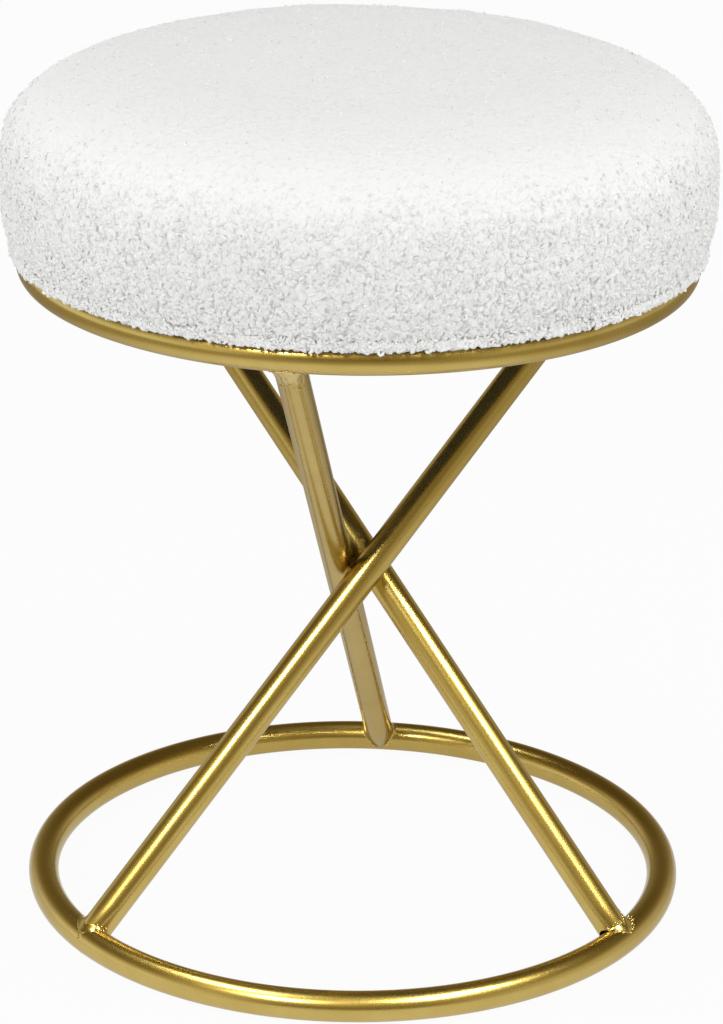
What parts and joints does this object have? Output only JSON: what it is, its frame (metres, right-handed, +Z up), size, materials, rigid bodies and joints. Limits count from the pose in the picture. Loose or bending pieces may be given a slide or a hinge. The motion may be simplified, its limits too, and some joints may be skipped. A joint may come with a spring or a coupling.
{
  "type": "vanity stool",
  "caption": "Round backless vanity stool: looped-pile cushion on a gold tube frame, two level rings joined by slanted legs that cross and are welded at a narrow waist.",
  "frame": {"origin": "on the floor, on the common axis of the rings and the cushion", "axes": "+Z up, -Y towards the front, +X to the right as seen from the front"},
  "size_m": [0.365, 0.365, 0.4611],
  "materials": {
    "frame": "satin gold lacquer over steel tube",
    "weld": "gold lacquer over rough weld metal, a little brighter than the tube",
    "boucle": "white looped pile, matt",
    "wadding": "loose white polyester fibre",
    "foam": "open cell upholstery foam",
    "board": "raw plywood",
    "dust_cloth": "black non-woven cloth",
    "fastener": "bright zinc plate"
  },
  "bodies": {
    "root": {"base_ring": "frame", "top_ring": "frame", "leg_left": "frame", "leg_right": "frame", "leg_back": "frame", "weld_foot_left": "weld", "weld_head_left": "weld", "weld_foot_right": "weld", "weld_head_right": "weld", "weld_foot_back": "weld", "weld_head_back": "weld", "weld_waist_left_right": "weld", "weld_waist_right_back": "weld", "weld_waist_back_left": "weld", "seat_tab_1": "frame", "tab_weld_1": "weld", "washer_1": "fastener", "seat_screw_1": "fastener", "insert_nut_1": "fastener", "seat_tab_2": "frame", "tab_weld_2": "weld", "washer_2": "fastener", "seat_screw_2": "fastener", "insert_nut_2": "fastener", "seat_tab_3": "frame", "tab_weld_3": "weld", "washer_3": "fastener", "seat_screw_3": "fastener", "insert_nut_3": "fastener", "seat_tab_4": "frame", "tab_weld_4": "weld", "washer_4": "fastener", "seat_screw_4": "fastener", "insert_nut_4": "fastener", "seat_board": "board", "foam_pad": "foam", "wadding": "wadding", "seat_cover": "boucle", "dust_cover": "dust_cloth"}
  },
  "joints": []
}
